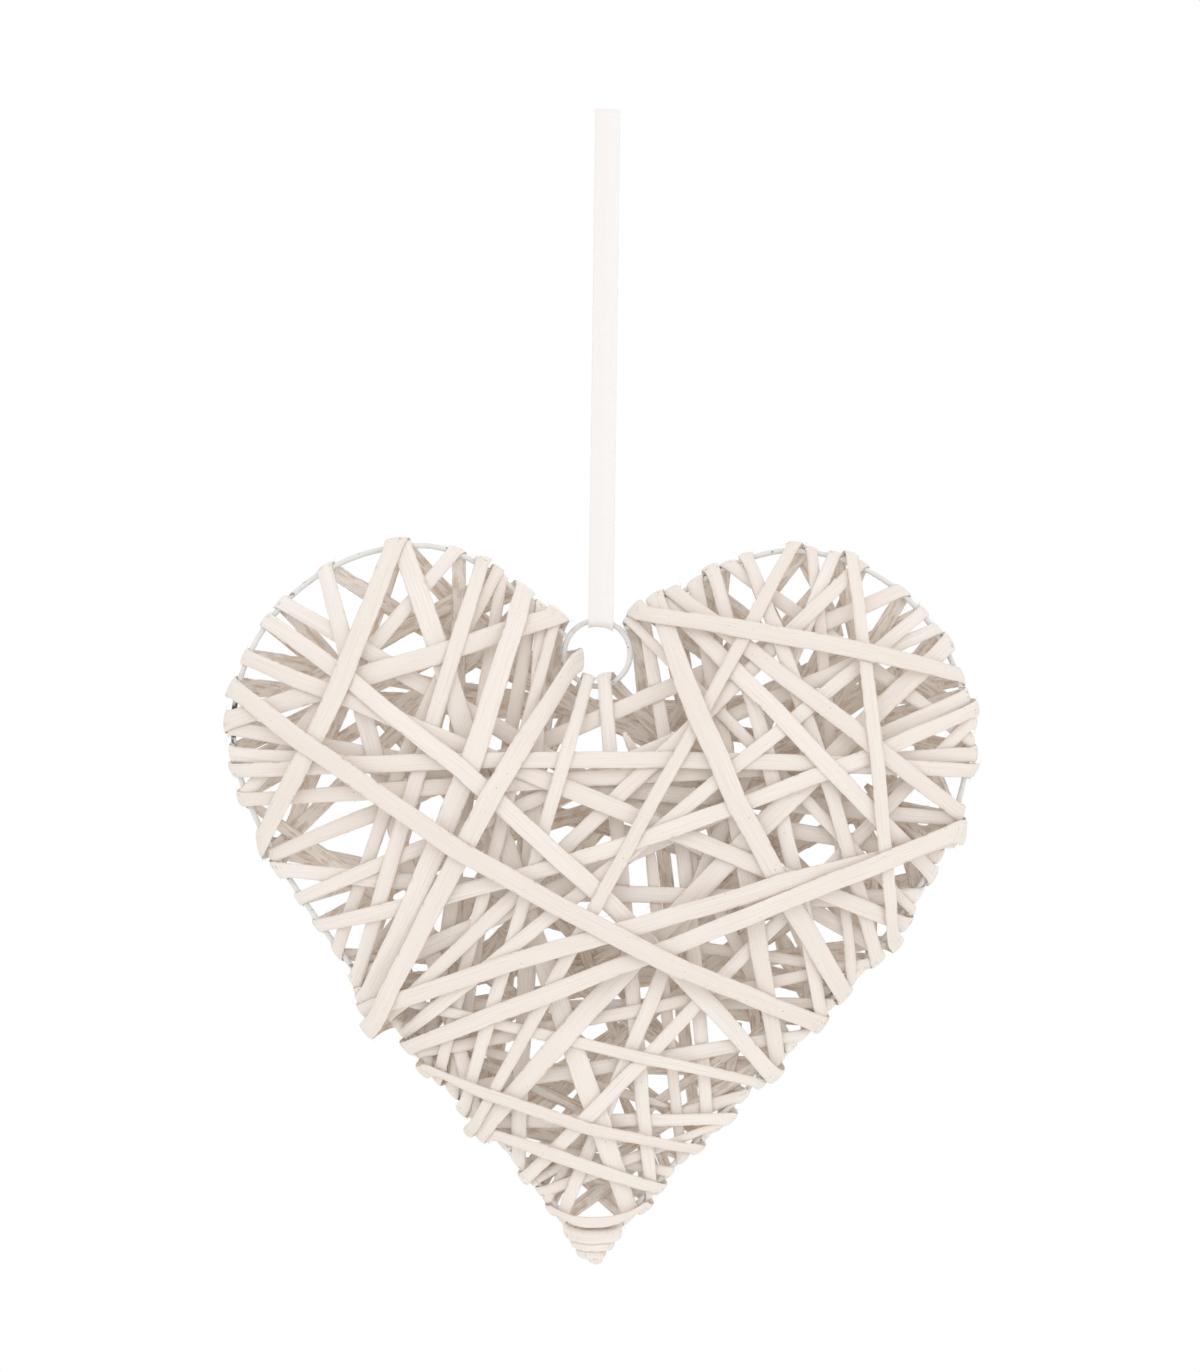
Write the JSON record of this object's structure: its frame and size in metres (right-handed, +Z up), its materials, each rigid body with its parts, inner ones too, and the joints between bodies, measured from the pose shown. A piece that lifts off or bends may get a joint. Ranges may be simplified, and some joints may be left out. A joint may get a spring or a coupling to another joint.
{
  "type": "wicker heart hanging ornament",
  "caption": "Puffed see-through heart of painted split-willow strips wound round a heart-shaped wire, with a wire ring and a flat ribbon loop to hang it by.",
  "frame": {"origin": "the place it hangs from, on the inside of the ribbon's upper fold, midway across the ribbon", "axes": "+Z up along the taut ribbon; the heart's wire lies in the XZ plane; its front faces -Y and +X is to the right seen from the front"},
  "size_m": [0.3042, 0.0573, 0.4614],
  "materials": {
    "painted_willow": "thin matt white paint over split willow",
    "painted_wire": "glossy white enamel",
    "woven_ribbon": "matt plain-weave ribbon"
  },
  "bodies": {
    "root": {"heart_wire": "painted_wire", "hanging_ring": "painted_wire", "hanging_ribbon": "woven_ribbon", "tip_binding": "painted_willow", "willow_strip_01": "painted_willow", "willow_strip_02": "painted_willow", "willow_strip_03": "painted_willow", "willow_strip_04": "painted_willow", "willow_strip_05": "painted_willow", "willow_strip_06": "painted_willow", "willow_strip_07": "painted_willow", "willow_strip_08": "painted_willow", "willow_strip_09": "painted_willow", "willow_strip_10": "painted_willow", "willow_strip_11": "painted_willow", "willow_strip_12": "painted_willow", "willow_strip_13": "painted_willow", "willow_strip_14": "painted_willow", "willow_strip_15": "painted_willow", "willow_strip_16": "painted_willow", "willow_strip_17": "painted_willow", "willow_strip_18": "painted_willow", "willow_strip_19": "painted_willow"}
  },
  "joints": []
}
